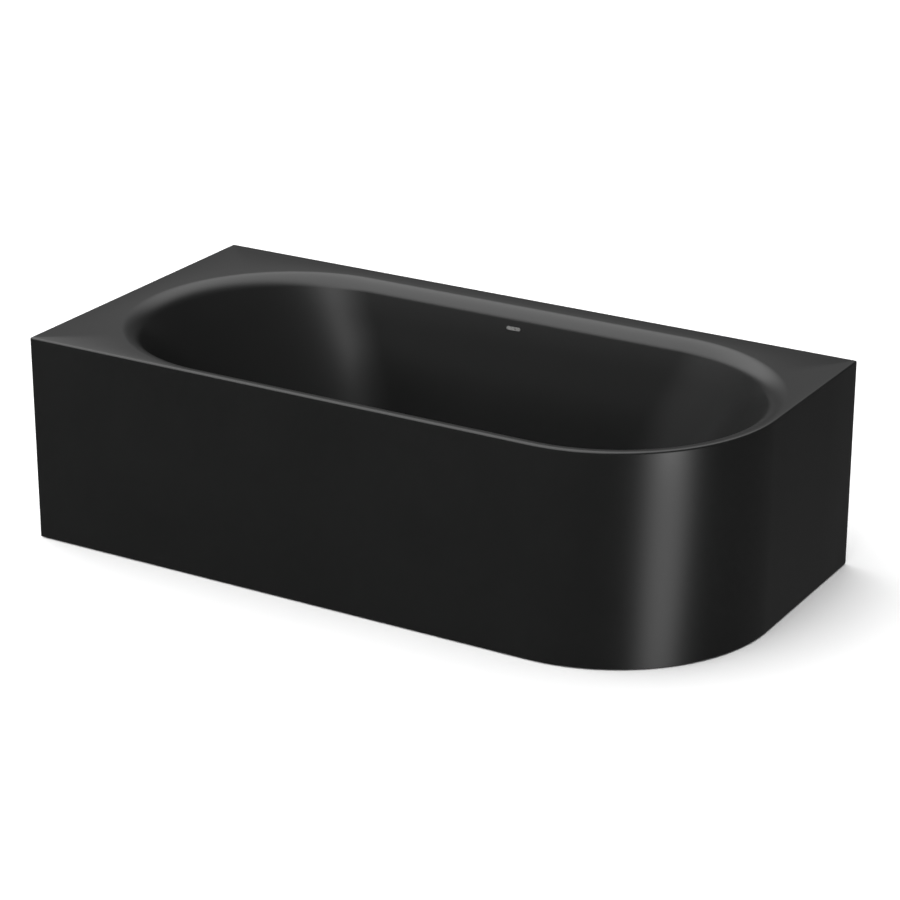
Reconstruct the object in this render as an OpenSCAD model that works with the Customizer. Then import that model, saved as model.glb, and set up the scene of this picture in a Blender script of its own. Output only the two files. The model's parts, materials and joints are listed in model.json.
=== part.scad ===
// Corner bath with one rounded corner, its apron, support frame, levelling feet, waste, trap and overflow.
// Origin: centre of the footprint, on the floor. +X runs along the bath to its rounded end, -Y faces the room.

/* [Overall size] */
// Length of the bath
bath_l = 1850; // [1800:10:1880]
// Width of the bath, from the wall side to the apron
bath_w = 900; // [890:5:910]
// Height of the deck above the floor
bath_h = 545; // [540:5:560]
// Radius of the rounded corner
corner_r = 426; // [420:1:432]

/* [Basin] */
// Radius of both basin ends at the rim
rim_r = 416; // [410:1:418]
// Width of the deck at the left-hand end
deck_left = 70; // [60:1:80]
// Depth from the deck to the flat of the floor
basin_depth = 420; // [418:1:422]
// Radius of the soft roll between deck and wall
roll_r = 38; // [32:1:42]
// Radius between wall and floor
floor_r = 90; // [84:1:94]
// Lean of the long walls away from vertical, in degrees
side_lean = 11; // [10:0.5:12]
// Lean of the two backrests away from vertical, in degrees
end_lean = 32; // [30:0.5:34]
// Fall of the floor towards the waste
floor_fall = 7; // [6:0.5:8]
// Thickness of the enamelled steel sheet
sheet_t = 3; // [2.5:0.1:3.2]

/* [Deck and apron] */
// Radius of the deck's outer edge
edge_r = 5; // [4.5:0.1:6]
// Thickness of the apron sheet
apron_t = 3; // [2.5:0.1:3]
// Shadow gap between the apron and the floor
hem_gap = 3; // [2:0.5:5]
// Width of the apron's inward hem
hem_w = 20; // [16:1:24]
// Length of the apron's returns at its two ends
return_w = 30; // [24:1:36]

/* [Feet and rails] */
// Distance of each rail from the middle of the basin
rail_x = 380; // [372:1:388]
// Distance of each foot from the middle of its rail
foot_y = 270; // [266:1:274]
// Length of a rail
rail_l = 590; // [580:2:600]
// Width of a rail
rail_w = 40; // [38:1:44]
// Height of a rail
rail_h = 28; // [26:1:30]
// Radius of the foot's threaded stud
stud_r = 5; // [4:0.5:6]
// Radius of the foot's pad
pad_r = 22; // [18:1:24]

/* [Waste and trap] */
// Radius of the waste hole in the floor
waste_hole_r = 26; // [26:0.5:27]
// Radius of the waste cover
cover_r = 38; // [34:1:39]
// Outside radius of the drain pipe
drain_r = 20; // [19:0.5:21]
// Distance of the trap's axis from the waste
trap_y = 122; // [118:1:126]
// Radius of the trap's bowl
trap_r = 46; // [42:1:48]

/* [Overflow] */
// Depth of the overflow's centre below the deck
overflow_drop = 80; // [76:1:90]
// Radius of the overflow hole
overflow_hole_r = 26.5; // [26:0.5:27]
// Radius of the control knob
knob_r = 33; // [30:1:35]
// Outside radius of the overflow hose
hose_r = 13.5; // [13:0.5:14]

/* [Hidden] */

$fn = 64;
eps = 0.01;
run_fit = 0.05;

// Colours
enamel = [0.1, 0.1, 0.105];
zinc = [0.72, 0.73, 0.75];
stainless = [0.78, 0.78, 0.77];
rubber = [0.13, 0.13, 0.14];
bitumen = [0.2, 0.19, 0.18];
foam = [0.82, 0.8, 0.68];
white_plastic = [0.9, 0.9, 0.89];
grey_plastic = [0.55, 0.56, 0.58];
brass = [0.78, 0.62, 0.3];

// Plan: the rounded corner and the basin's right end share one centre
half_l = bath_l / 2;
half_w = bath_w / 2;
right_x = half_l - corner_r;
left_x = -half_l + deck_left + rim_r;
basin_y = -half_w + corner_r;
basin_x = (right_x + left_x) / 2;
half_c = (right_x - left_x) / 2;

// Basin section: inward distance w and height z along a long wall, leaning steps taken as wall angles
wall_a = 90 - side_lean;
floor_z = bath_h - basin_depth;
roll_drop = roll_r * (1 - cos(wall_a));
wall_drop = basin_depth - roll_drop - floor_r * (1 - cos(wall_a));
roll_w = roll_r * sin(wall_a);
floor_w = roll_w + wall_drop * tan(side_lean) + floor_r * sin(wall_a);
end_slope = tan(end_lean) - tan(side_lean);
function centre_at(z) = half_c - end_slope * (bath_h - z);
function wall_w(z) = roll_w + (bath_h - z - roll_drop) * tan(side_lean);
function wall_y(z) = rim_r - wall_w(z);

// Ring resolution
quarter_n = 16;
edge_n = 4;
roll_n = 7;
fillet_n = 7;

// Waste seat pressed into the floor
seat_z = floor_z - floor_fall;
seat_r = 58;
seat_step = 5;
seat_floor_r = 50;
seat_floor_z = seat_z - seat_step;
flat_c = 190;
flat_r = 140;

// Apron
apron_top = bath_h - edge_r;
bond_h = 28;
under_deck = bath_h - sheet_t;

// Edge angles under the deck
angle_leg = 30;
angle_h = 42;
angle_t = 3;
angle_in = 4;
back_angle_x0 = -half_l + 6;
back_angle_x1 = half_l - return_w - 5;
left_angle_y0 = -half_w + return_w + 2;
left_angle_y1 = half_w - angle_leg - 8;

// Wall anchors
anchor_x = [-500, 520];
anchor_y = 0;
anchor_w = 40;
anchor_low = 440;
anchor_high = 538;
anchor_hole_z = 460;
anchor_hole_r = 3.5;
anchor_bolt_z = 520;
anchor_bolt_r = 3;

// Rails and feet
rail_t = 2.5;
pad_h = 6;
rail_top = floor_z - sheet_t - pad_h;
rail_low = rail_top - rail_h;
rail_xs = [basin_x - rail_x, basin_x + rail_x];
foot_ys = [basin_y - foot_y, basin_y + foot_y];
nut_h = 8.5;
nut_r = 9.6;
nut_z = rail_top - rail_t - nut_h;
lock_nut_h = 8;
stud_low = 6;
stud_high = 132;
foot_base_h = 8;
foot_socket_h = 16;
foot_socket_r = 11;

// Stays between rails and apron
stay_w = 30;
stay_t = 3;
stay_y = -half_w + hem_w + 10;
stay_screw_r = 2.5;
stay_screw_y = -half_w + 14;

// Waste
gasket_t = 1.5;
flange_r = 40;
flange_z = seat_floor_z + gasket_t;
flange_t = 2;
strainer_r = 20;
strainer_tube_r = 24.5;
strainer_low = 92;
guide_z = 98;
guide_h = 5;
stem_r = 3.5;
pin_r = 3;
pin_low = 50;
pin_top = 74;
lower_gasket_t = 3;
body_top = seat_floor_z - sheet_t - lower_gasket_t;
body_r = 34;
body_wall = 4;
body_low = 58;
pipe_wall = 2;
pipe_z = 79;
cable_boss_low = 42;
cable_end = 48;
seal_t = 1;
cover_z = flange_z + flange_t + seal_t;
cover_t = 4;

// Trap
trap_x = basin_x;
trap_cy = basin_y + trap_y;
trap_low = 12;
trap_top = 100;
trap_wall = 3;
trap_out_z = 64;
joint_y = basin_y + 58;
union_r = 26;
trap_out_y = trap_cy + trap_r + 18;
drain_end = trap_out_y + 110;

// Overflow, measured along the wall's own normal
back_gasket_z = -sheet_t - gasket_t;
overflow_r = 33;
overflow_wall = 3;
overflow_depth = 42;
plate_z = gasket_t;
plate_t = 2.5;
hub_r = 7;
spindle_r = 4;
spindle_low = -38;
screw_x = 18;
screw_r = 2;
knob_z = 10;
knob_t = 14;

// Rack and pinion
gear_m = 0.8;
gear_teeth = 18;
gear_r = gear_m * gear_teeth / 2;
gear_a = 20;
gear_low = -32;
gear_w = 8;
backlash = 0.12;
rack_pitch = PI * gear_m;
rack_back = 12;

// Hose and cable
hose_x = basin_x - 14;
cable_x = basin_x + 10;
drop_y = -412;
hose_bend = 60;
spigot_r = 12;
spigot_low = 412;
spigot_top = 440;
sleeve_r = 14.5;
sleeve_l = 14;
sleeve_gap = 0.1;
hose_bore = 10;
port_y = basin_y - 64;
cable_r = 2.5;
cable_z = 18;
cable_low_bend = 26;
cable_top = 430;
cable_upper_bend = 60;

// Plaque
plaque_x = 15;
plaque_drop = 50;
plaque_w = 40;
plaque_h = 9;
plaque_t = 1.2;

// ---------- Rings of the shell ----------

// Each station runs round the plan anticlockwise from the middle of the front: [side, angle, quarter]
stations = concat(
    [for (j = [0 : 2 * quarter_n]) [1, -90 + 90 * j / quarter_n]],
    [for (j = [0 : 2 * quarter_n]) [-1, 90 + 90 * j / quarter_n]]
);
station_n = len(stations);

function lerp(a, b, p) = a + (b - a) * p;
// Two straight runs from a to b through the square corner k
function corner_path(a, k, b, p) = p < 0.5 ? lerp(a, k, 2 * p) : lerp(k, b, 2 * p - 1);
// Point of the outline, moved inwards by e
function outline_pt(s, e) =
    let (a = s[1], x1 = half_l - e, y1 = half_w - e)
    s[0] > 0 && a <= 0 ? [right_x + (corner_r - e) * cos(a), basin_y + (corner_r - e) * sin(a)] :
    s[0] > 0 ? corner_path([x1, basin_y], [x1, y1], [right_x, y1], a / 90) :
    a <= 180 ? corner_path([left_x, y1], [-x1, y1], [-x1, basin_y], (a - 90) / 90) :
    corner_path([-x1, basin_y], [-x1, -y1], [left_x, -y1], (a - 180) / 90);
function basin_pt(s, c, r) = [basin_x + s[0] * c + r * cos(s[1]), basin_y + r * sin(s[1])];
// Evenly spaced point of a circle about the waste
function round_pt(s, r) =
    let (middle = s[0] > 0 ? 0 : 180, a = middle + (s[1] - middle) * 2 * quarter_n / (2 * quarter_n + 1))
    [basin_x + r * cos(a), basin_y + r * sin(a)];

// A ring is [kind, centre distance, radius or inset, height]; t moves it to the sheet's underside
function edge_ring(q, t) = ["outline", 0, edge_r * (1 - cos(q)) + t * cos(q), apron_top + (edge_r - t) * sin(q)];
function wall_ring(w, z, a, t) = ["basin", centre_at(z), rim_r - w + t * sin(a), z - t * cos(a)];
function shell_rings(t) = concat(
    [for (i = [0 : edge_n]) edge_ring(90 * i / edge_n, t)],
    [for (i = [0 : roll_n]) let (a = wall_a * i / roll_n)
        wall_ring(roll_r * sin(a), bath_h - roll_r * (1 - cos(a)), a, t)],
    [for (i = [0 : fillet_n]) let (a = wall_a * (1 - i / fillet_n))
        wall_ring(floor_w - floor_r * sin(a), floor_z + floor_r * (1 - cos(a)), a, t)],
    [["basin", flat_c, flat_r, floor_z - t],
     ["round", 0, seat_r, seat_z - t],
     ["round", 0, seat_floor_r, seat_floor_z - t],
     ["round", 0, waste_hole_r, seat_floor_z - t]]
);
function reversed(v) = [for (i = [len(v) - 1 : -1 : 0]) v[i]];
function ring_pts(r) = [for (s = stations)
    let (p = r[0] == "outline" ? outline_pt(s, r[2]) : r[0] == "basin" ? basin_pt(s, r[1], r[2]) : round_pt(s, r[2]))
    [p[0], p[1], r[3]]];

module shell_sheet() {
    rings = concat(shell_rings(0), reversed(shell_rings(sheet_t)));
    ring_n = len(rings);
    points = [for (r = rings) for (p = ring_pts(r)) p];
    faces = [for (k = [0 : ring_n - 1]) for (i = [0 : station_n - 1])
        let (a = k * station_n + i, b = k * station_n + (i + 1) % station_n,
             c = ((k + 1) % ring_n) * station_n + (i + 1) % station_n, d = ((k + 1) % ring_n) * station_n + i)
        for (f = [[a, c, b], [a, d, c]]) f];
    polyhedron(points = points, faces = faces, convexity = 10);
}

// ---------- Places ----------

// Local +Z points into the basin, square to the front wall; local +Y runs down the wall
module on_front_wall(drop) {
    translate([basin_x, basin_y - wall_y(bath_h - drop), bath_h - drop])
        rotate([-wall_a, 0, 0]) children();
}

// Local +Z points into the basin, square to the back wall
module on_back_wall(x, drop) {
    translate([x, basin_y + wall_y(bath_h - drop), bath_h - drop])
        rotate([wall_a, 0, 0]) children();
}

module at_waste(z = 0) {
    translate([basin_x, basin_y, z]) children();
}

module ring(r_out, r_in, h) {
    difference() {
        cylinder(r = r_out, h = h);
        translate([0, 0, -1]) cylinder(r = r_in, h = h + 2);
    }
}

module hex_nut(r, bore, h) {
    difference() {
        cylinder(r = r, h = h, $fn = 6);
        translate([0, 0, -1]) cylinder(r = bore, h = h + 2, $fn = 48);
    }
}

// Plan of the bath, moved inwards by e
module outline_2d(e) {
    translate([-half_l + e, -half_w + e]) square([right_x + half_l - e, bath_w - 2 * e]);
    translate([right_x - 1, basin_y]) square([corner_r + 1 - e, half_w - basin_y - e]);
    translate([right_x, basin_y]) circle(r = corner_r - e, $fn = 180);
}

// Strip of the outline between two insets, along the front, the rounded corner and the right-hand end
module apron_strip_2d(e0, e1) {
    difference() {
        outline_2d(e0);
        outline_2d(e1);
        translate([-half_l - 1, -half_w + return_w]) square([right_x + half_l + 1, bath_w]);
        translate([right_x - 1, basin_y]) square([corner_r + 1 - return_w, bath_w]);
    }
}

// ---------- Bath and apron ----------

module bath_shell() {
    color(enamel) difference() {
        shell_sheet();
        on_front_wall(overflow_drop) translate([0, 0, -15]) cylinder(r = overflow_hole_r, h = 30);
    }
}

module apron_panel() {
    color(enamel) difference() {
        union() {
            translate([0, 0, hem_gap]) linear_extrude(height = apron_top - hem_gap) apron_strip_2d(0, apron_t);
            translate([0, 0, hem_gap]) linear_extrude(height = apron_t) apron_strip_2d(0, hem_w);
        }
        for (x = rail_xs) translate([x, stay_screw_y, 0]) cylinder(r = stay_screw_r + run_fit, h = 20);
    }
}

module blank_plaque() {
    color(stainless) on_back_wall(plaque_x, plaque_drop) linear_extrude(height = plaque_t) {
        square([plaque_w - plaque_h, plaque_h], center = true);
        for (s = [-1, 1]) translate([s * (plaque_w - plaque_h) / 2, 0]) circle(d = plaque_h);
    }
}

module apron_bond_strip() {
    color(zinc) translate([0, 0, apron_top - bond_h]) linear_extrude(height = bond_h)
        apron_strip_2d(apron_t, 2 * apron_t);
}

// L-shaped bracket, legs along +X and down, run along +Y
module corner_bracket() {
    leg = 24;
    low = 60;
    run = 50;
    rotate([90, 0, 0]) translate([0, 0, -run]) linear_extrude(height = run)
        polygon([[0, 0], [leg, 0], [leg, -angle_t], [angle_t, -angle_t], [angle_t, -low], [0, -low]]);
}

module corner_brackets() {
    inset = 2 * apron_t;
    color(zinc) {
        translate([-half_l + 60, -half_w + inset, under_deck]) rotate([0, 0, 90]) corner_bracket();
        translate([half_l - inset, half_w - 15, under_deck]) rotate([0, 0, 180]) corner_bracket();
    }
}

// Foam blocks that fill the gap between the leaning wall and the apron
module spacer_blocks() {
    block_l = 80;
    z0 = 380;
    z1 = 440;
    gap = sheet_t / cos(side_lean) + 0.2;
    color(foam) for (x = [basin_x - 330, basin_x + 290])
        translate([x, 0, 0]) rotate([90, 0, 90]) linear_extrude(height = block_l)
            polygon([[-half_w + apron_t, z0], [basin_y - wall_y(z0) - gap, z0],
                     [basin_y - wall_y(z1) - gap, z1], [-half_w + apron_t, z1]]);
}

// Profile of an edge angle: distance in from the edge, height
module angle_2d() {
    polygon([[angle_in, under_deck - angle_h], [angle_in, under_deck - 0.5], [angle_in + 1, under_deck],
             [angle_in + angle_leg, under_deck], [angle_in + angle_leg, under_deck - angle_t],
             [angle_in + angle_t, under_deck - angle_t], [angle_in + angle_t, under_deck - angle_h]]);
}

module anchor_hole(z, r) {
    translate([0, -1, z]) rotate([-90, 0, 0]) cylinder(r = r, h = 40);
}

module back_edge_angle() {
    color(zinc) difference() {
        translate([back_angle_x0, half_w, 0]) rotate([90, 0, 90])
            linear_extrude(height = back_angle_x1 - back_angle_x0) mirror([1, 0]) angle_2d();
        for (x = anchor_x) translate([x, half_w - 20, 0]) anchor_hole(anchor_bolt_z, anchor_bolt_r + run_fit);
    }
}

module left_edge_angle() {
    color(zinc) difference() {
        translate([-half_l, left_angle_y1, 0]) rotate([90, 0, 0])
            linear_extrude(height = left_angle_y1 - left_angle_y0) angle_2d();
        translate([-half_l + 20, anchor_y, 0]) rotate([0, 0, 90])
            anchor_hole(anchor_bolt_z, anchor_bolt_r + run_fit);
    }
}

// Anchor plate standing on the wall plane y = 0, its bulk towards -Y
module wall_anchor() {
    rib_t = 3;
    difference() {
        translate([-anchor_w / 2, -angle_in, anchor_low]) cube([anchor_w, angle_t, anchor_high - anchor_low]);
        translate([0, -20, 0]) anchor_hole(anchor_hole_z, anchor_hole_r);
        translate([0, -20, 0]) anchor_hole(anchor_bolt_z, anchor_bolt_r + run_fit);
    }
    for (s = [-1, 1]) translate([s * (anchor_w - rib_t) / 2 - rib_t / 2, -angle_in - 8, anchor_low])
        cube([rib_t, 8, under_deck - angle_h - anchor_low]);
}

module anchor_places() {
    for (x = anchor_x) translate([x, half_w, 0]) children();
    translate([-half_l, anchor_y, 0]) rotate([0, 0, 90]) children();
}

module wall_anchors() {
    color(zinc) anchor_places() wall_anchor();
}

module anchor_bolts() {
    shank = 2 * angle_t;
    color(stainless) anchor_places() translate([0, -1, anchor_bolt_z]) rotate([90, 0, 0]) {
        cylinder(r = anchor_bolt_r, h = shank + eps);
        translate([0, 0, shank]) cylinder(r = 5.8, h = 4, $fn = 6);
    }
}

// ---------- Rails and feet ----------

module support_rail(x) {
    color(zinc) difference() {
        translate([x - rail_w / 2, basin_y - rail_l / 2, rail_low]) cube([rail_w, rail_l, rail_h]);
        translate([x - rail_w / 2 + rail_t, basin_y - rail_l / 2 - 1, rail_low - 1])
            cube([rail_w - 2 * rail_t, rail_l + 2, rail_h + 1 - rail_t]);
        for (y = foot_ys) translate([x, y, rail_low]) cylinder(r = stud_r + 0.4, h = rail_h + 1);
        translate([x, basin_y + rail_l / 2 - 60, rail_low + rail_h / 2]) rotate([0, 90, 0])
            cylinder(r = 3 + run_fit, h = rail_w);
    }
}

module support_rail_left() {
    support_rail(rail_xs[0]);
}

module support_rail_right() {
    support_rail(rail_xs[1]);
}

module rail_pads() {
    pad_l = 90;
    color(rubber) for (x = rail_xs) for (s = [-1, 1])
        translate([x - rail_w / 2 + 3, basin_y + s * 120 - pad_l / 2, rail_top]) cube([rail_w - 6, pad_l, pad_h]);
}

module rail_nuts() {
    color(brass) for (x = rail_xs) for (y = foot_ys)
        translate([x, y, nut_z]) hex_nut(nut_r, stud_r + run_fit, nut_h);
}

module foot_stud(i, j) {
    hex_z = 22;
    hex_h = 9;
    thread_end = 1;
    color(stainless) translate([rail_xs[i], foot_ys[j], 0]) {
        translate([0, 0, stud_low]) cylinder(r = stud_r, h = stud_high - stud_low - thread_end);
        translate([0, 0, stud_high - thread_end])
            cylinder(r1 = stud_r, r2 = stud_r - thread_end, h = thread_end);
        translate([0, 0, hex_z]) cylinder(r = nut_r, h = hex_h, $fn = 6);
    }
}

module foot_pad(i, j) {
    lip = 1.5;
    bore = stud_r + run_fit;
    color(rubber) translate([rail_xs[i], foot_ys[j], 0]) rotate_extrude()
        polygon([[0, 0], [pad_r - lip, 0], [pad_r, lip], [pad_r, foot_base_h - 3], [pad_r - 5, foot_base_h],
                 [foot_socket_r, foot_base_h + 2], [foot_socket_r, foot_socket_h], [bore, foot_socket_h],
                 [bore, stud_low], [0, stud_low]]);
}

module lock_nut(i, j) {
    color(zinc) translate([rail_xs[i], foot_ys[j], nut_z - lock_nut_h]) hex_nut(nut_r, stud_r, lock_nut_h);
}

// Bracket from the end of each rail to the apron's hem
module apron_stays() {
    rail_end = basin_y - rail_l / 2;
    hem_top = hem_gap + apron_t;
    foot_end = -half_w + apron_t + 1;
    color(zinc) difference() {
        for (x = rail_xs) translate([x - stay_w / 2, 0, 0]) rotate([90, 0, 90]) linear_extrude(height = stay_w)
            polygon([[rail_end, rail_top], [rail_end, rail_low], [stay_y + stay_t, rail_low],
                     [stay_y + stay_t, hem_top], [foot_end, hem_top], [foot_end, hem_top + stay_t],
                     [stay_y, hem_top + stay_t], [stay_y, rail_low + stay_t],
                     [rail_end - stay_t, rail_low + stay_t], [rail_end - stay_t, rail_top]]);
        for (x = rail_xs) translate([x, stay_screw_y, 0]) cylinder(r = stay_screw_r + run_fit, h = 20);
    }
}

module stay_screws() {
    head_z = hem_gap + apron_t + stay_t;
    color(stainless) for (x = rail_xs) translate([x, stay_screw_y, 0]) {
        translate([0, 0, hem_gap]) cylinder(r = stay_screw_r, h = head_z - hem_gap + eps);
        translate([0, 0, head_z]) cylinder(r = 4.5, h = 3);
    }
}

module floor_mats() {
    mat_t = 3;
    mat_z = floor_z - sheet_t - mat_t;
    end_l = 70;
    end_w = 200;
    side_l = 500;
    side_w = 60;
    color(bitumen) {
        for (s = [-1, 1]) translate([basin_x + s * (rail_x + 65), basin_y, mat_z])
            translate([-end_l / 2, -end_w / 2, 0]) cube([end_l, end_w, mat_t]);
        for (s = [-1, 1]) translate([basin_x, basin_y + s * 182, mat_z])
            translate([-side_l / 2, -side_w / 2, 0]) cube([side_l, side_w, mat_t]);
    }
}

module wall_mats() {
    mat_l = 500;
    mat_h = 180;
    mat_t = 3;
    drop = 215;
    mat_u = -sheet_t - mat_t - run_fit;
    color(bitumen) {
        on_front_wall(drop) translate([-mat_l / 2, -mat_h / 2, mat_u]) cube([mat_l, mat_h, mat_t]);
        on_back_wall(basin_x, drop) translate([-mat_l / 2, -mat_h / 2, mat_u]) cube([mat_l, mat_h, mat_t]);
    }
}

module at_earthing() {
    translate([rail_xs[1] + rail_w / 2, basin_y + rail_l / 2 - 60, rail_low + rail_h / 2])
        rotate([0, 90, 0]) children();
}

module earthing_lug() {
    lug_l = 34;
    lug_w = 18;
    lug_t = 2;
    color(brass) at_earthing() difference() {
        linear_extrude(height = lug_t) {
            circle(d = lug_w);
            translate([-lug_w / 2, 0]) square([lug_w, lug_l - lug_w / 2]);
        }
        translate([0, 0, -1]) cylinder(r = 3 + run_fit, h = lug_t + 2);
    }
}

module earthing_bolt() {
    color(stainless) at_earthing() {
        translate([0, 0, -8]) cylinder(r = 3, h = 10 + eps);
        translate([0, 0, 2]) cylinder(r = 6, h = 4, $fn = 6);
    }
}

// ---------- Waste ----------

module waste_flange() {
    spoke_t = 3;
    color(stainless) at_waste() difference() {
        union() {
            translate([0, 0, flange_z]) ring(flange_r, strainer_r, flange_t);
            translate([0, 0, strainer_low]) ring(strainer_tube_r, strainer_r, flange_z - strainer_low + eps);
            translate([0, 0, guide_z]) cylinder(r = hub_r, h = guide_h);
            for (a = [0, 60, 120]) rotate([0, 0, a])
                translate([-strainer_r - 1, -spoke_t / 2, guide_z]) cube([2 * strainer_r + 2, spoke_t, guide_h]);
        }
        cylinder(r = stem_r + run_fit, h = bath_h);
    }
}

module waste_gasket_upper() {
    color(rubber) at_waste(seat_floor_z) ring(flange_r - 2, waste_hole_r + 0.5, gasket_t);
}

module waste_gasket_lower() {
    color(rubber) at_waste(body_top) ring(flange_r, waste_hole_r + 0.5, lower_gasket_t);
}

module waste_body() {
    neck_low = strainer_low;
    inner_r = body_r - body_wall;
    boss_r = 8;
    color(white_plastic) at_waste() difference() {
        union() {
            translate([0, 0, body_top - 4]) cylinder(r = flange_r + 2, h = 4);
            translate([0, 0, body_low]) cylinder(r = body_r, h = body_top - body_low - 1);
            translate([0, 0, cable_boss_low]) cylinder(r = boss_r, h = body_low - cable_boss_low + 1);
            translate([0, body_r / 2, pipe_z]) rotate([-90, 0, 0])
                cylinder(r = drain_r, h = joint_y - basin_y - body_r / 2);
            translate([hose_x - basin_x, port_y - basin_y, pipe_z]) rotate([-90, 0, 0])
                cylinder(r = spigot_r, h = basin_y - port_y - body_r / 2);
        }
        translate([0, 0, body_low + body_wall]) difference() {
            cylinder(r = inner_r, h = neck_low - body_low - body_wall);
            translate([0, 0, -1]) cylinder(r = boss_r, h = 7);
        }
        translate([0, 0, neck_low - 1]) cylinder(r = strainer_tube_r, h = bath_h);
        translate([0, 0, cable_end]) cylinder(r = pin_r + run_fit, h = body_top);
        translate([0, 0, cable_boss_low - 1]) cylinder(r = cable_r + run_fit, h = body_top);
        translate([0, body_r / 2, pipe_z]) rotate([-90, 0, 0]) cylinder(r = drain_r - pipe_wall, h = 100);
        translate([hose_x - basin_x, port_y - basin_y - 1, pipe_z]) rotate([-90, 0, 0])
            cylinder(r = spigot_r - 2.5, h = 50);
    }
}

module lift_pin() {
    color(stainless) at_waste(pin_low) cylinder(r = pin_r, h = pin_top - pin_low);
}

module waste_cover() {
    round_r = 1.8;
    top = cover_z + cover_t;
    color(enamel) at_waste() rotate_extrude($fn = 96) difference() {
        union() {
            translate([0, cover_z]) square([cover_r - round_r, cover_t]);
            translate([0, cover_z]) square([cover_r, cover_t - round_r]);
            translate([cover_r - round_r, top - round_r]) circle(r = round_r);
        }
        translate([-round_r, 0]) square([round_r, bath_h]);
    }
}

module plug_seal() {
    color(rubber) at_waste(cover_z - seal_t) ring(31, 22, seal_t);
}

module plug_stem() {
    color(stainless) at_waste() {
        translate([0, 0, pin_top]) cylinder(r = stem_r, h = cover_z - pin_top);
        translate([0, 0, cover_z - 3]) cylinder(r = 12, h = 3);
    }
}

// ---------- Trap ----------

module along_y(y, z) {
    translate([trap_x, y, z]) rotate([-90, 0, 0]) children();
}

module trap_body() {
    inner_r = trap_r - trap_wall;
    in_l = trap_cy - joint_y;
    out_l = trap_out_y - trap_cy;
    baffle_t = 3;
    color(white_plastic) difference() {
        union() {
            translate([trap_x, trap_cy, trap_low]) cylinder(r = trap_r, h = trap_top - trap_low);
            along_y(joint_y, pipe_z) cylinder(r = drain_r - run_fit, h = in_l);
            along_y(trap_cy, trap_out_z) cylinder(r = drain_r - run_fit, h = out_l);
        }
        difference() {
            union() {
                translate([trap_x, trap_cy, trap_low + trap_wall])
                    cylinder(r = inner_r, h = trap_top - trap_low - 2 * trap_wall);
                along_y(joint_y - 1, pipe_z) cylinder(r = drain_r - pipe_wall, h = in_l);
                along_y(trap_cy, trap_out_z) cylinder(r = drain_r - pipe_wall, h = out_l + 1);
            }
            translate([trap_x - trap_r, trap_cy - baffle_t / 2, trap_low + 30])
                cube([2 * trap_r, baffle_t, trap_top - trap_low - 30]);
        }
        translate([trap_x, trap_cy, trap_top - 8]) cylinder(r = 32, h = 9);
    }
}

// Union nut with grip ribs, its axis along +Z
module union_nut(bore, h) {
    rib_n = 12;
    difference() {
        union() {
            cylinder(r = union_r, h = h);
            for (i = [0 : rib_n - 1]) rotate([0, 0, i * 360 / rib_n])
                translate([union_r - 1, -2, 2]) cube([3, 4, h - 4]);
        }
        translate([0, 0, -1]) cylinder(r = bore, h = h + 2);
    }
}

module trap_inlet_nut() {
    color(white_plastic) along_y(joint_y - 11, pipe_z) rotate([0, 0, 15]) union_nut(drain_r + run_fit, 22);
}

module trap_outlet_nut() {
    color(white_plastic) along_y(trap_out_y - 12, trap_out_z) union_nut(drain_r + run_fit, 24);
}

module trap_cap() {
    grip_n = 8;
    cap_r = 37;
    color(grey_plastic) translate([trap_x, trap_cy, trap_top]) {
        translate([0, 0, -7]) cylinder(r = 31.8, h = 7);
        cylinder(r = cap_r, h = 3);
        for (i = [0 : grip_n - 1]) rotate([0, 0, i * 360 / grip_n])
            translate([14, -2, 3 - eps]) cube([cap_r - 18, 4, 3]);
    }
}

module drain_pipe() {
    mark_r = drain_r - 0.5;
    mark_w = 2;
    color(grey_plastic) difference() {
        along_y(trap_out_y, trap_out_z) ring(drain_r, drain_r - pipe_wall, drain_end - trap_out_y);
        // Shallow groove next to the nut, which shows how deep the pipe is pushed in
        along_y(trap_out_y + 13, trap_out_z) ring(drain_r + 1, mark_r, mark_w);
    }
}

// ---------- Overflow ----------

module screw_pair() {
    for (s = [-1, 1]) translate([s * screw_x, 0, 0]) children();
}

module overflow_plate() {
    inlet_n = 5;
    color(stainless) on_front_wall(overflow_drop) difference() {
        union() {
            translate([0, 0, plate_z]) cylinder(r = overflow_r + 1, h = plate_t);
            translate([0, 0, -18]) cylinder(r = hub_r, h = 18 + plate_z + eps);
        }
        translate([0, 0, -20]) cylinder(r = spindle_r + run_fit, h = 40);
        screw_pair() cylinder(r = screw_r + 0.1, h = 20);
        for (s = [0, 180]) for (i = [0 : inlet_n - 1]) rotate([0, 0, s + 40 + i * 25])
            translate([18, 0, 0]) cylinder(r = 3.4, h = 20);
    }
}

module overflow_gasket_front() {
    color(rubber) on_front_wall(overflow_drop) ring(overflow_r, overflow_hole_r + 0.5, gasket_t);
}

module overflow_gasket_back() {
    color(rubber) on_front_wall(overflow_drop) translate([0, 0, back_gasket_z])
        ring(overflow_r + 3, overflow_hole_r + 0.5, gasket_t);
}

// Rack guide, screw posts and the rear bearing of the spindle stand inside the cup
module overflow_inside() {
    floor_u = -overflow_depth + overflow_wall - eps;
    translate([0, 0, floor_u]) cylinder(r = hub_r, h = gear_low - 1 - floor_u);
    screw_pair() translate([0, 0, floor_u]) cylinder(r = 4, h = -6 - floor_u);
    translate([rack_back + 0.2, -22, floor_u]) cube([2, 44, -22 - floor_u]);
}

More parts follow.
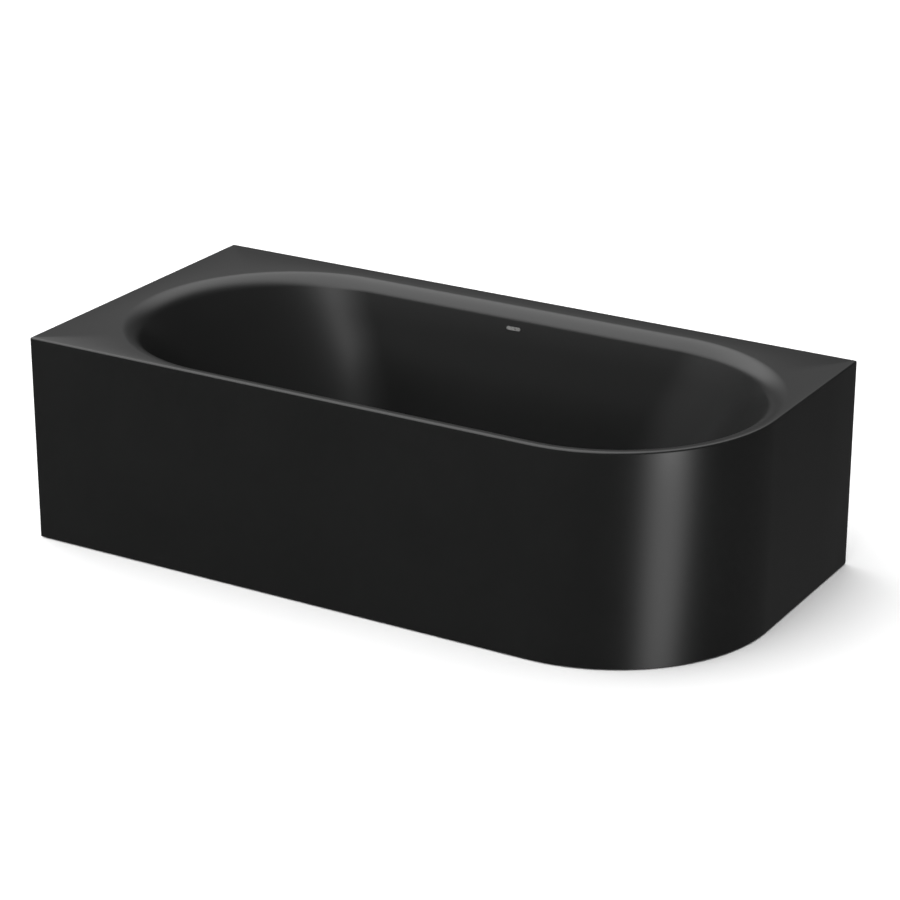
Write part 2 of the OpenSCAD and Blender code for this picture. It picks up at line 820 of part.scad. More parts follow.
module overflow_body() {
    top = back_gasket_z;
    cup_h = overflow_depth + top;
    color(white_plastic) difference() {
        union() {
            on_front_wall(overflow_drop) translate([0, 0, -overflow_depth]) {
                cylinder(r = overflow_r, h = cup_h);
                translate([0, 0, cup_h - 3.5]) cylinder(r = overflow_r + 3, h = 3.5);
            }
            translate([hose_x, drop_y, spigot_low]) cylinder(r = spigot_r, h = spigot_top - spigot_low);
            translate([cable_x, drop_y, cable_top - 8]) cylinder(r = 5, h = 20);
        }
        difference() {
            on_front_wall(overflow_drop) translate([0, 0, -overflow_depth + overflow_wall])
                cylinder(r = overflow_r - overflow_wall, h = cup_h);
            on_front_wall(overflow_drop) overflow_inside();
        }
        on_front_wall(overflow_drop) {
            translate([0, 0, spindle_low - 0.1]) cylinder(r = spindle_r + run_fit, h = 20);
            screw_pair() translate([0, 0, -30]) cylinder(r = screw_r + run_fit, h = 30);
        }
        translate([hose_x, drop_y, spigot_low - 1]) cylinder(r = spigot_r - 2.5, h = 34);
        translate([cable_x, drop_y, cable_top - 9]) cylinder(r = cable_r + run_fit, h = 9);
        translate([cable_x, drop_y, cable_top - 9]) cylinder(r = 1.2, h = 24, $fn = 24);
    }
}

module overflow_screws() {
    head_z = plate_z + plate_t;
    color(stainless) on_front_wall(overflow_drop) screw_pair() difference() {
        union() {
            translate([0, 0, -24]) cylinder(r = screw_r, h = 24 + head_z + eps);
            translate([0, 0, head_z]) cylinder(r = 3.5, h = 2.2);
        }
        translate([0, 0, head_z + 1]) cylinder(r = 1.3, h = 2, $fn = 6);
    }
}

module overflow_knob() {
    soft = 4;
    skirt = 3;
    bore_top = 16;
    color(enamel) on_front_wall(overflow_drop) difference() {
        rotate_extrude($fn = 96) difference() {
            union() {
                translate([0, knob_z]) square([knob_r - soft, knob_t]);
                translate([0, knob_z]) square([knob_r, knob_t - soft]);
                translate([knob_r - soft, knob_z + knob_t - soft]) circle(r = soft);
                translate([0, plate_z + plate_t + 0.3]) square([hub_r, knob_z - plate_z - plate_t]);
            }
            translate([-soft, 0]) square([soft, 40]);
            translate([hub_r + 4, knob_z - 1]) square([knob_r - hub_r - 4 - skirt, skirt + 5]);
        }
        cylinder(r = spindle_r, h = bore_top);
    }
}

// Involute pinion; the first tooth points along +X
function involute_pt(rb, t) = rb * [cos(t) + t * PI / 180 * sin(t), sin(t) - t * PI / 180 * cos(t)];
function roll_angle(rb, r) = sqrt(pow(r / rb, 2) - 1) * 180 / PI;
function turned(p, a) = [p[0] * cos(a) - p[1] * sin(a), p[0] * sin(a) + p[1] * cos(a)];
module pinion_2d() {
    base_r = gear_r * cos(gear_a);
    tip_r = gear_r + gear_m;
    root_r = gear_r - 1.25 * gear_m;
    flank_n = 5;
    t_tip = roll_angle(base_r, tip_r);
    t_pitch = roll_angle(base_r, gear_r);
    half_tooth = 90 / gear_teeth - backlash / 2 / gear_r * 180 / PI;
    lead = half_tooth + t_pitch - atan(t_pitch * PI / 180);
    flank = [for (i = [0 : flank_n]) turned(involute_pt(base_r, t_tip * i / flank_n), -lead)];
    half = concat([turned([root_r, 0], -lead)], flank);
    tooth = concat(half, [for (p = reversed(half)) [p[0], -p[1]]]);
    polygon([for (i = [0 : gear_teeth - 1]) for (p = tooth) turned(p, i * 360 / gear_teeth)]);
}

module control_spindle() {
    color(stainless) on_front_wall(overflow_drop) {
        translate([0, 0, spindle_low]) cylinder(r = spindle_r, h = 16 - spindle_low);
        translate([0, 0, gear_low]) linear_extrude(height = gear_w) pinion_2d();
    }
}

// Toothed bar beside the pinion; a gap between teeth lies on the x axis
module rack_slider() {
    tooth_lo = -6;
    tooth_hi = 2;
    pitch_x = gear_r + run_fit;
    tip = 0.9 * gear_m;
    root = 1.25 * gear_m;
    half_pitch = rack_pitch / 4 - backlash / 4;
    bar_lo = (tooth_lo - 0.5) * rack_pitch;
    bar_hi = (tooth_hi + 1.5) * rack_pitch;
    color(brass) on_front_wall(overflow_drop) translate([0, 0, gear_low]) linear_extrude(height = gear_w) {
        translate([pitch_x + root, bar_lo]) square([rack_back - pitch_x - root, bar_hi - bar_lo]);
        for (i = [tooth_lo : tooth_hi]) translate([pitch_x, (i + 0.5) * rack_pitch])
            polygon([[-tip, -half_pitch + tip * tan(gear_a)], [root + eps, -half_pitch - root * tan(gear_a)],
                     [root + eps, half_pitch + root * tan(gear_a)], [-tip, half_pitch - tip * tan(gear_a)]]);
    }
}

// ---------- Hose and cable ----------

// One half-wave of the hose's corrugation after another, along +Z
module corrugated(l) {
    pitch = 5;
    crest = 1.6;
    n = floor(l / pitch);
    step = l / n;
    rotate_extrude() difference() {
        polygon(concat([[0, 0]],
            [for (i = [0 : n - 1]) for (p = [[hose_r - crest, i * step], [hose_r, (i + 0.5) * step]]) p],
            [[hose_r - crest, l], [0, l]]));
        square([hose_bore, 3 * l], center = true);
    }
}

// Plain end that slides over a spigot, with a shoulder down to the corrugated run
module sleeve() {
    shoulder = 2;
    difference() {
        translate([0, 0, -shoulder]) cylinder(r = sleeve_r, h = sleeve_l + shoulder);
        cylinder(r = spigot_r + sleeve_gap, h = sleeve_l + 1);
        translate([0, 0, -shoulder - 1]) cylinder(r = hose_bore + 0.5, h = shoulder + 2);
    }
}

// Crest that spans the joint of a straight run and the bend
module joining_ring() {
    ring(hose_r, hose_bore + 0.5, 2.4);
}

// Quarter bend about the Z axis, from +X to +Y
module hose_bend_part() {
    rib_n = 12;
    difference() {
        union() {
            rotate_extrude(angle = 90, $fn = 128) translate([hose_bend, 0]) circle(r = hose_r - 1.6, $fn = 48);
            for (i = [0.5 : rib_n]) rotate([0, 0, i * 90 / rib_n]) translate([hose_bend, -1.2, 0])
                rotate([-90, 0, 0]) cylinder(r = hose_r, h = 2.4, $fn = 48);
        }
        rotate([0, 0, -5]) rotate_extrude(angle = 100, $fn = 128) translate([hose_bend, 0])
            circle(r = hose_bore, $fn = 48);
    }
}

module overflow_hose() {
    low_z = pipe_z + hose_bend;
    high_z = spigot_low;
    run_y = drop_y + hose_bend;
    color(grey_plastic) {
        translate([hose_x, drop_y, low_z]) corrugated(high_z - low_z);
        translate([hose_x, drop_y, high_z]) sleeve();
        translate([hose_x, drop_y, low_z - 1]) joining_ring();
        translate([hose_x, run_y, low_z]) rotate([-90, 0, -90]) hose_bend_part();
        translate([hose_x, run_y - 1, pipe_z]) rotate([-90, 0, 0]) joining_ring();
        translate([hose_x, run_y, pipe_z]) rotate([-90, 0, 0]) corrugated(port_y - run_y);
        translate([hose_x, port_y, pipe_z]) rotate([-90, 0, 0]) sleeve();
    }
}

module hose_clamp() {
    clamp_w = 9;
    clamp_t = 0.8;
    translate([0, 0, (sleeve_l - clamp_w) / 2]) difference() {
        union() {
            cylinder(r = sleeve_r + clamp_t, h = clamp_w);
            translate([-5, -sleeve_r - 6, 0]) cube([10, 8, clamp_w]);
        }
        translate([0, 0, -1]) cylinder(r = sleeve_r, h = clamp_w + 2);
    }
}

module hose_clamps() {
    color(stainless) {
        translate([hose_x, drop_y, spigot_low]) hose_clamp();
        translate([hose_x, port_y, pipe_z]) rotate([-90, 0, 0]) rotate([0, 0, 180]) hose_clamp();
    }
}

// The cable lies in one upright plane through the waste's axis; local x is the distance from that axis
cable_reach = norm([cable_x - basin_x, drop_y - basin_y]);
cable_turn = atan2(drop_y - basin_y, cable_x - basin_x);
module in_cable_plane() {
    at_waste() rotate([0, 0, cable_turn]) children();
}

module cable_bend(x, z, r, a) {
    translate([x, 0, z]) rotate([90, 0, 0]) rotate([0, 0, a]) rotate_extrude(angle = 90, $fn = 96)
        translate([r, 0]) circle(r = cable_r, $fn = 32);
}

module control_cable() {
    low_z = cable_z + cable_low_bend;
    up_z = cable_z + cable_upper_bend;
    run = cable_reach - cable_upper_bend - cable_low_bend;
    color(rubber) in_cable_plane() {
        translate([0, 0, low_z]) cylinder(r = cable_r, h = cable_end - low_z, $fn = 32);
        cable_bend(cable_low_bend, low_z, cable_low_bend, 180);
        translate([cable_low_bend, 0, cable_z]) rotate([0, 90, 0]) cylinder(r = cable_r, h = run, $fn = 32);
        cable_bend(cable_reach - cable_upper_bend, up_z, cable_upper_bend, 270);
        translate([cable_reach, 0, up_z]) cylinder(r = cable_r, h = cable_top - up_z, $fn = 32);
    }
}

module cable_clips() {
    clip_h = 8;
    web = 3;
    color(white_plastic) for (z = [220, 340]) translate([hose_x, drop_y, z]) linear_extrude(height = clip_h)
        difference() {
            union() {
                circle(r = hose_r + web);
                translate([cable_x - hose_x, 0]) circle(r = cable_r + web);
                translate([0, -web]) square([cable_x - hose_x, 2 * web]);
            }
            circle(r = hose_r + run_fit);
            translate([cable_x - hose_x, 0]) circle(r = cable_r + run_fit, $fn = 32);
            translate([-2, -hose_r - 2 * web]) square([4, hose_r]);
        }
}

bath_shell();
apron_panel();
blank_plaque();
apron_bond_strip();
corner_brackets();
spacer_blocks();
back_edge_angle();
left_edge_angle();
wall_anchors();
anchor_bolts();
support_rail_left();
support_rail_right();
rail_pads();
rail_nuts();
apron_stays();
stay_screws();
floor_mats();
wall_mats();
earthing_lug();
earthing_bolt();
foot_stud(0, 0);  // foot_stud_front_left
foot_stud(1, 0);  // foot_stud_front_right
foot_stud(0, 1);  // foot_stud_back_left
foot_stud(1, 1);  // foot_stud_back_right
foot_pad(0, 0);  // foot_pad_front_left
foot_pad(1, 0);  // foot_pad_front_right
foot_pad(0, 1);  // foot_pad_back_left
foot_pad(1, 1);  // foot_pad_back_right
lock_nut(0, 0);  // lock_nut_front_left
lock_nut(1, 0);  // lock_nut_front_right
lock_nut(0, 1);  // lock_nut_back_left
lock_nut(1, 1);  // lock_nut_back_right
waste_flange();
waste_gasket_upper();
waste_gasket_lower();
waste_body();
lift_pin();
waste_cover();
plug_seal();
plug_stem();
trap_body();
trap_inlet_nut();
trap_cap();
trap_outlet_nut();
drain_pipe();
overflow_plate();
overflow_gasket_front();
overflow_gasket_back();
overflow_body();
overflow_screws();
overflow_knob();
control_spindle();
rack_slider();
overflow_hose();
hose_clamps();
control_cable();
cable_clips();
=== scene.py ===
"""Built-in corner bath: smooth enamelled shell and apron, fittings, materials, studio and camera."""

import json
import math

import bmesh
import bpy
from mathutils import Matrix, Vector


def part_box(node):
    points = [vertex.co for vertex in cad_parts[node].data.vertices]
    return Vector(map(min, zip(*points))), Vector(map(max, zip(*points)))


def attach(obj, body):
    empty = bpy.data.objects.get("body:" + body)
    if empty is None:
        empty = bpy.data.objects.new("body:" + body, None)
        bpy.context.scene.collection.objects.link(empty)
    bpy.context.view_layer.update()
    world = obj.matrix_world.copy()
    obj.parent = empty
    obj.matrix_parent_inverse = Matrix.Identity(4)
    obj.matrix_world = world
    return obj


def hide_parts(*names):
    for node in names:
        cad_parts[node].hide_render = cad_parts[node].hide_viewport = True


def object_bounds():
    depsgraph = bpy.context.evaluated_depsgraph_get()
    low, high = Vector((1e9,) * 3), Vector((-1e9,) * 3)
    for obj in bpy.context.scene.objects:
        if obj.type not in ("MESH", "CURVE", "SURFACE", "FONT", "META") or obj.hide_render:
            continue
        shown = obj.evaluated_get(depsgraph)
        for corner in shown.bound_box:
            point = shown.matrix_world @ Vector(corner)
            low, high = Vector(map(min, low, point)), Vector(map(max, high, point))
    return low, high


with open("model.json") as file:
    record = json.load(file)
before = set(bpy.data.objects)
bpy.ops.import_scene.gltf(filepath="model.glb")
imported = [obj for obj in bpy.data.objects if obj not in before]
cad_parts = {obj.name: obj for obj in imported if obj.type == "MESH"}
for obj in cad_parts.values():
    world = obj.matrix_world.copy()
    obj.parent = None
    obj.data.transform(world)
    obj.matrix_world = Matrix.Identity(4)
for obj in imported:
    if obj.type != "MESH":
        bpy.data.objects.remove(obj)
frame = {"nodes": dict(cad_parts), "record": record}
CAD_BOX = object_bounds()
NODES = frame["nodes"]

# ---------- Places taken from the frame ----------

LOW, HIGH = (Vector(corner) for corner in CAD_BOX)
APRON_LOW, APRON_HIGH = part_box("apron_panel")

HALF_L = (HIGH.x - LOW.x) / 2
HALF_W = (HIGH.y - LOW.y) / 2
DECK_Z = HIGH.z

# ---------- Driving sizes of the bath, in metres ----------

CORNER_R = 0.426
RIM_R = 0.416
DECK_LEFT = 0.070
BASIN_DEPTH = 0.420
ROLL_R = 0.038
FLOOR_R = 0.090
SIDE_LEAN = math.radians(11)
END_LEAN = math.radians(32)
FLOOR_FALL = 0.007
SHEET_T = 0.003
EDGE_R = 0.005
SEAT_STEP = 0.005
SEAT_R = 0.058
SEAT_FLOOR_R = 0.050
SEAT_LIP = 0.004
SEAT_LIP_RISE = 0.0004
WASTE_HOLE_R = 0.026
FLAT_C = 0.190
FLAT_R = 0.140
FOLD_R = 0.003
LEAST_R = 0.0004
HEM_W = 0.020
RETURN_W = 0.030

RIGHT_X = HALF_L - CORNER_R
LEFT_X = -HALF_L + DECK_LEFT + RIM_R
BASIN_Y = -HALF_W + CORNER_R
BASIN_X = (RIGHT_X + LEFT_X) / 2
HALF_C = (RIGHT_X - LEFT_X) / 2
WALL_A = math.pi / 2 - SIDE_LEAN
FLOOR_Z = DECK_Z - BASIN_DEPTH
ROLL_DROP = ROLL_R * (1 - math.cos(WALL_A))
WALL_DROP = BASIN_DEPTH - ROLL_DROP - FLOOR_R * (1 - math.cos(WALL_A))
ROLL_W = ROLL_R * math.sin(WALL_A)
FLOOR_W = ROLL_W + WALL_DROP * math.tan(SIDE_LEAN) + FLOOR_R * math.sin(WALL_A)
END_SLOPE = math.tan(END_LEAN) - math.tan(SIDE_LEAN)


# ---------- Camera ----------

def make_camera():
    """A long lens from the front right, above the rim, as the object is seen."""
    eye = Vector((3.47086, -5.84520, 2.96121))
    target = Vector((0, 0, 0.2599))
    data = bpy.data.cameras.new("camera")
    data.sensor_width = 36
    data.lens = 116.39
    data.shift_x = 0.01223
    data.shift_y = 0.00616
    data.clip_end = 60
    camera = bpy.data.objects.new("camera", data)
    camera.location = eye
    camera.rotation_euler = (target - eye).to_track_quat("-Z", "Y").to_euler()
    bpy.context.scene.collection.objects.link(camera)
    bpy.context.scene.camera = camera


# ---------- Node helpers for materials ----------

class Shade:
    """A node-based material around one Principled shader."""

    def __init__(self, name, color, roughness, metallic=0.0, ior=1.5):
        self.mat = bpy.data.materials.new(name)
        self.mat.use_nodes = True
        self.mat.diffuse_color = (*color, 1)
        self.tree = self.mat.node_tree
        self.shader = self.tree.nodes["Principled BSDF"]
        self.shader.inputs["Base Color"].default_value = (*color, 1)
        self.shader.inputs["Roughness"].default_value = roughness
        self.shader.inputs["Metallic"].default_value = metallic
        self.shader.inputs["IOR"].default_value = ior
        self.coord = self.node("ShaderNodeTexCoord").outputs["Object"]

    def node(self, kind, **settings):
        made = self.tree.nodes.new(kind)
        for key, value in settings.items():
            setattr(made, key, value)
        return made

    def link(self, source, target):
        self.tree.links.new(source, target)

    def stretched(self, scale):
        mapping = self.node("ShaderNodeMapping")
        mapping.inputs["Scale"].default_value = scale
        self.link(self.coord, mapping.inputs["Vector"])
        return mapping.outputs["Vector"]

    def noise(self, scale, detail=3.0, rough=0.5, stretch=None):
        made = self.node("ShaderNodeTexNoise")
        made.inputs["Scale"].default_value = scale
        made.inputs["Detail"].default_value = detail
        made.inputs["Roughness"].default_value = rough
        self.link(self.stretched(stretch) if stretch else self.coord, made.inputs["Vector"])
        return made.outputs["Fac"]

    def cells(self, scale, output="Distance", feature="F1"):
        made = self.node("ShaderNodeTexVoronoi", feature=feature)
        made.inputs["Scale"].default_value = scale
        self.link(self.coord, made.inputs["Vector"])
        return made.outputs[output]

    def ramp(self, source, low, high, at=(0.35, 0.65)):
        """Colours low and high where the source has the values at."""
        made = self.node("ShaderNodeValToRGB")
        ends = made.color_ramp.elements
        for end, value, place in zip(ends, (low, high), at):
            end.position = place
            end.color = (*value, 1) if isinstance(value, tuple) else (value, value, value, 1)
        self.link(source, made.inputs["Fac"])
        return made.outputs["Color"]

    def vary_color(self, source, low, high, at=(0.35, 0.65)):
        self.link(self.ramp(source, low, high, at), self.shader.inputs["Base Color"])

    def vary_roughness(self, source, low, high, at=(0.3, 0.7)):
        made = self.node("ShaderNodeMapRange")
        for key, value in zip(("From Min", "From Max", "To Min", "To Max"), (*at, low, high)):
            made.inputs[key].default_value = value
        self.link(source, made.inputs["Value"])
        self.link(made.outputs["Result"], self.shader.inputs["Roughness"])

    def bump(self, source, strength, distance):
        """Adds one layer of bump over those made before it."""
        made = self.node("ShaderNodeBump")
        made.inputs["Strength"].default_value = strength
        made.inputs["Distance"].default_value = distance
        self.link(source, made.inputs["Height"])
        under = self.shader.inputs["Normal"]
        if under.is_linked:
            self.link(under.links[0].from_socket, made.inputs["Normal"])
        self.link(made.outputs["Normal"], under)


def matte_enamel():
    """Black vitreous enamel with a silky, very finely grained face."""
    m = Shade("matte_black_enamel", (0.0072, 0.0074, 0.0073), 0.30)
    m.vary_color(m.noise(5.0, 4.0), (0.0068, 0.0070, 0.0069), (0.0077, 0.0079, 0.0078))
    m.vary_roughness(m.noise(380.0, 3.0, 0.6), 0.28, 0.32)
    m.bump(m.noise(1500.0, 2.0, 0.6), 0.06, 0.0002)
    m.bump(m.noise(60.0, 2.0, 0.5), 0.02, 0.0004)
    return m.mat


def ground_enamel():
    """Rougher ground coat on the hidden side of the sheet, with pale specks."""
    m = Shade("ground_coat", (0.02, 0.022, 0.026), 0.5)
    m.vary_color(m.cells(420.0), (0.09, 0.09, 0.1), (0.018, 0.02, 0.024), at=(0.05, 0.16))
    m.vary_roughness(m.noise(90.0), 0.42, 0.62)
    m.bump(m.noise(500.0, 3.0, 0.6), 0.15, 0.0004)
    return m.mat


def galvanised():
    """Zinc-coated steel with faint crystal patches and drawing marks."""
    m = Shade("galvanised_steel", (0.55, 0.56, 0.58), 0.42, metallic=1.0)
    m.vary_color(m.cells(95.0, "Color"), (0.44, 0.45, 0.47), (0.66, 0.67, 0.69), at=(0.1, 0.9))
    m.vary_roughness(m.cells(95.0, "Color"), 0.32, 0.52)
    m.bump(m.noise(260.0, 3.0), 0.08, 0.0003)
    return m.mat


def satin_steel():
    """Brushed stainless steel."""
    m = Shade("satin_stainless", (0.62, 0.62, 0.61), 0.28, metallic=1.0)
    m.vary_roughness(m.noise(120.0, 4.0, 0.6, stretch=(1, 14, 14)), 0.22, 0.36)
    m.vary_color(m.noise(30.0, 3.0, 0.5, stretch=(1, 10, 10)), (0.58, 0.58, 0.57), (0.68, 0.68, 0.67))
    m.bump(m.noise(400.0, 2.0, 0.5, stretch=(1, 20, 20)), 0.05, 0.0002)
    return m.mat


def black_rubber():
    m = Shade("black_rubber", (0.022, 0.022, 0.023), 0.72)
    m.vary_color(m.noise(45.0, 4.0), (0.018, 0.018, 0.019), (0.032, 0.032, 0.033))
    m.vary_roughness(m.noise(200.0), 0.62, 0.82)
    m.bump(m.noise(900.0, 3.0, 0.6), 0.2, 0.0003)
    return m.mat


def bitumen_mat():
    """Sound-deadening mat with an embossed grid of dimples."""
    m = Shade("bitumen_mat", (0.035, 0.033, 0.031), 0.8)
    m.vary_color(m.noise(35.0, 5.0, 0.6), (0.026, 0.025, 0.024), (0.05, 0.047, 0.044))
    m.vary_roughness(m.noise(70.0), 0.7, 0.9)
    m.bump(m.cells(130.0), 0.5, 0.0008)
    m.bump(m.noise(600.0, 3.0), 0.25, 0.0004)
    return m.mat


def pale_foam():
    """Expanded adhesive foam with open cells."""
    m = Shade("pale_foam", (0.62, 0.56, 0.38), 0.85)
    m.vary_color(m.noise(40.0, 4.0), (0.55, 0.49, 0.32), (0.7, 0.64, 0.46))
    m.bump(m.cells(330.0), 0.8, 0.0012)
    m.bump(m.noise(90.0, 3.0), 0.5, 0.002)
    return m.mat


def moulded_plastic(name, color, spread=0.06):
    """Injection-moulded polypropylene with a slightly waxy, fine-grained face."""
    m = Shade(name, color, 0.42)
    dark = tuple(c * (1 - spread) for c in color)
    pale = tuple(min(1, c * (1 + spread)) for c in color)
    m.vary_color(m.noise(18.0, 3.0), dark, pale)
    m.vary_roughness(m.noise(160.0), 0.34, 0.5)
    m.bump(m.noise(1100.0, 2.0), 0.08, 0.0002)
    m.shader.inputs["Subsurface Weight"].default_value = 0.05
    m.shader.inputs["Subsurface Radius"].default_value = (0.002, 0.002, 0.002)
    return m.mat


def turned_brass():
    m = Shade("turned_brass", (0.66, 0.46, 0.19), 0.3, metallic=1.0)
    m.vary_color(m.noise(60.0, 4.0), (0.58, 0.39, 0.15), (0.74, 0.54, 0.25))
    m.vary_roughness(m.noise(140.0), 0.24, 0.42)
    m.bump(m.noise(700.0, 2.0), 0.06, 0.0002)
    return m.mat


def studio_floor():
    m = Shade("studio_floor", (0.93, 0.93, 0.93), 0.9)
    m.vary_color(m.noise(1.5, 2.0), (0.92, 0.92, 0.92), (0.94, 0.94, 0.94))
    return m.mat


# ---------- Mesh helpers ----------

def new_mesh_object(name, verts, faces, mats, face_mats=None):
    mesh = bpy.data.meshes.new(name)
    mesh.from_pydata([tuple(v) for v in verts], [], faces)
    for mat in mats:
        mesh.materials.append(mat)
    if face_mats:
        mesh.polygons.foreach_set("material_index", face_mats)
    mesh.polygons.foreach_set("use_smooth", [True] * len(mesh.polygons))
    mesh.update()
    made = bpy.data.objects.new(name, mesh)
    bpy.context.scene.collection.objects.link(made)
    return made


def bridge(rings, closed_rings=True, closed_path=False):
    """Quads between neighbouring rings of equal length."""
    count = len(rings[0])
    around = count if closed_rings else count - 1
    along = len(rings) if closed_path else len(rings) - 1
    faces = []
    for k in range(along):
        a = k * count
        b = ((k + 1) % len(rings)) * count
        for i in range(around):
            j = (i + 1) % count
            faces.append((a + i, a + j, b + j, b + i))
    return [p for ring in rings for p in ring], faces


def sharpen(obj, degrees):
    """Keeps edges above an angle sharp under smooth shading."""
    bm = bmesh.new()
    bm.from_mesh(obj.data)
    for edge in bm.edges:
        edge.smooth = len(edge.link_faces) != 2 or edge.calc_face_angle(0) < math.radians(degrees)
    bm.to_mesh(obj.data)
    bm.free()


# ---------- Bath shell ----------

QUARTER_N = 40
EDGE_N = 6
ROLL_N = 16
WALL_N = 5
FILLET_N = 18
FOLD_N = 4


def stations():
    """Directions round the plan, anticlockwise from the middle of the front: side, angle."""
    steps = [90 * j / QUARTER_N for j in range(2 * QUARTER_N + 1)]
    return [(1, -90 + a) for a in steps] + [(-1, 90 + a) for a in steps]


STATIONS = stations()


def lerp(a, b, p):
    return a + (b - a) * p


def corner_path(a, k, b, p, r):
    """From a to b through the square corner k, rounded with a small radius."""
    ka, kb = (a - k).normalized(), (b - k).normalized()
    start, end = k + ka * r, k + kb * r
    fold = FOLD_N / QUARTER_N / 2
    if p <= 0.5 - fold:
        return lerp(a, start, p / (0.5 - fold))
    if p >= 0.5 + fold:
        return lerp(end, b, (p - 0.5 - fold) / (0.5 - fold))
    t = (p - 0.5 + fold) / (2 * fold) * math.pi / 2
    return k + ka * r * (1 - math.sin(t)) + kb * r * (1 - math.cos(t))


def outline_pt(station, e):
    """Point of the outline, moved inwards by e."""
    side, a = station
    x1, y1 = HALF_L - e, HALF_W - e
    r = max(FOLD_R - e, LEAST_R)
    if side > 0 and a <= 0:
        t = math.radians(a)
        return Vector((RIGHT_X + (CORNER_R - e) * math.cos(t), BASIN_Y + (CORNER_R - e) * math.sin(t)))
    if side > 0:
        return corner_path(Vector((x1, BASIN_Y)), Vector((x1, y1)), Vector((RIGHT_X, y1)), a / 90, r)
    if a <= 180:
        return corner_path(Vector((LEFT_X, y1)), Vector((-x1, y1)), Vector((-x1, BASIN_Y)), (a - 90) / 90, r)
    return corner_path(Vector((-x1, BASIN_Y)), Vector((-x1, -y1)), Vector((LEFT_X, -y1)), (a - 180) / 90, r)


def basin_pt(station, c, r):
    side, a = station
    t = math.radians(a)
    return Vector((BASIN_X + side * c + r * math.cos(t), BASIN_Y + r * math.sin(t)))


def round_pt(station, r):
    """Evenly spaced point of a circle about the waste."""
    side, a = station
    middle = 0 if side > 0 else 180
    t = math.radians(middle + (a - middle) * 2 * QUARTER_N / (2 * QUARTER_N + 1))
    return Vector((BASIN_X + r * math.cos(t), BASIN_Y + r * math.sin(t)))


def wall_ring(w, z, a, t):
    """Ring of the basin at inward distance w and height z; a is the slope there, t the depth under the face."""
    c = HALF_C - END_SLOPE * (DECK_Z - z)
    r = RIM_R - w + t * math.sin(a)
    return [(*basin_pt(s, c, r), z - t * math.cos(a)) for s in STATIONS]


def flat_ring(kind, value, z):
    if kind == "outline":
        return [(*outline_pt(s, value), z) for s in STATIONS]
    if kind == "floor":
        return [(*basin_pt(s, *value), z) for s in STATIONS]
    return [(*round_pt(s, value), z) for s in STATIONS]


def shell_rings(t):
    """Rings of the sheet from the foot of the edge to the waste hole, at depth t under the visible face."""
    rings = []
    lip_z = DECK_Z - EDGE_R
    for i in range(EDGE_N + 1):
        q = math.pi / 2 * i / EDGE_N
        rings.append(flat_ring("outline", EDGE_R * (1 - math.cos(q)) + t * math.cos(q),
                               lip_z + (EDGE_R - t) * math.sin(q)))
    for i in range(ROLL_N + 1):
        a = WALL_A * i / ROLL_N
        rings.append(wall_ring(ROLL_R * math.sin(a), DECK_Z - ROLL_R * (1 - math.cos(a)), a, t))
    for i in range(1, WALL_N):
        drop = ROLL_DROP + WALL_DROP * i / WALL_N
        rings.append(wall_ring(ROLL_W + (drop - ROLL_DROP) * math.tan(SIDE_LEAN), DECK_Z - drop, WALL_A, t))
    for i in range(FILLET_N + 1):
        a = WALL_A * (1 - i / FILLET_N)
        rings.append(wall_ring(FLOOR_W - FLOOR_R * math.sin(a), FLOOR_Z + FLOOR_R * (1 - math.cos(a)), a, t))
    seat_z = FLOOR_Z - FLOOR_FALL
    rings.append(flat_ring("floor", (FLAT_C, FLAT_R), FLOOR_Z - t))
    rings.append(flat_ring("round", SEAT_R + SEAT_LIP, seat_z + SEAT_LIP_RISE - t))
    rings.append(flat_ring("round", SEAT_R, seat_z - t))
    rings.append(flat_ring("round", SEAT_FLOOR_R, seat_z - SEAT_STEP - t))
    rings.append(flat_ring("round", WASTE_HOLE_R, seat_z - SEAT_STEP - t))
    return rings


def make_shell(face_mat, back_mat):
    top = shell_rings(0)
    under = list(reversed(shell_rings(SHEET_T)))
    verts, faces = bridge(top + under, closed_path=True)
    count = len(STATIONS)
    visible = (len(top) - 1) * count
    face_mats = [0 if k < visible or k >= visible + count * len(under) else 1 for k in range(len(faces))]
    shell = new_mesh_object("enamelled_shell", verts, faces, [face_mat, back_mat], face_mats)
    sharpen(shell, 50)
    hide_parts("bath_shell")
    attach(shell, "bath")
    return shell


# ---------- Apron ----------

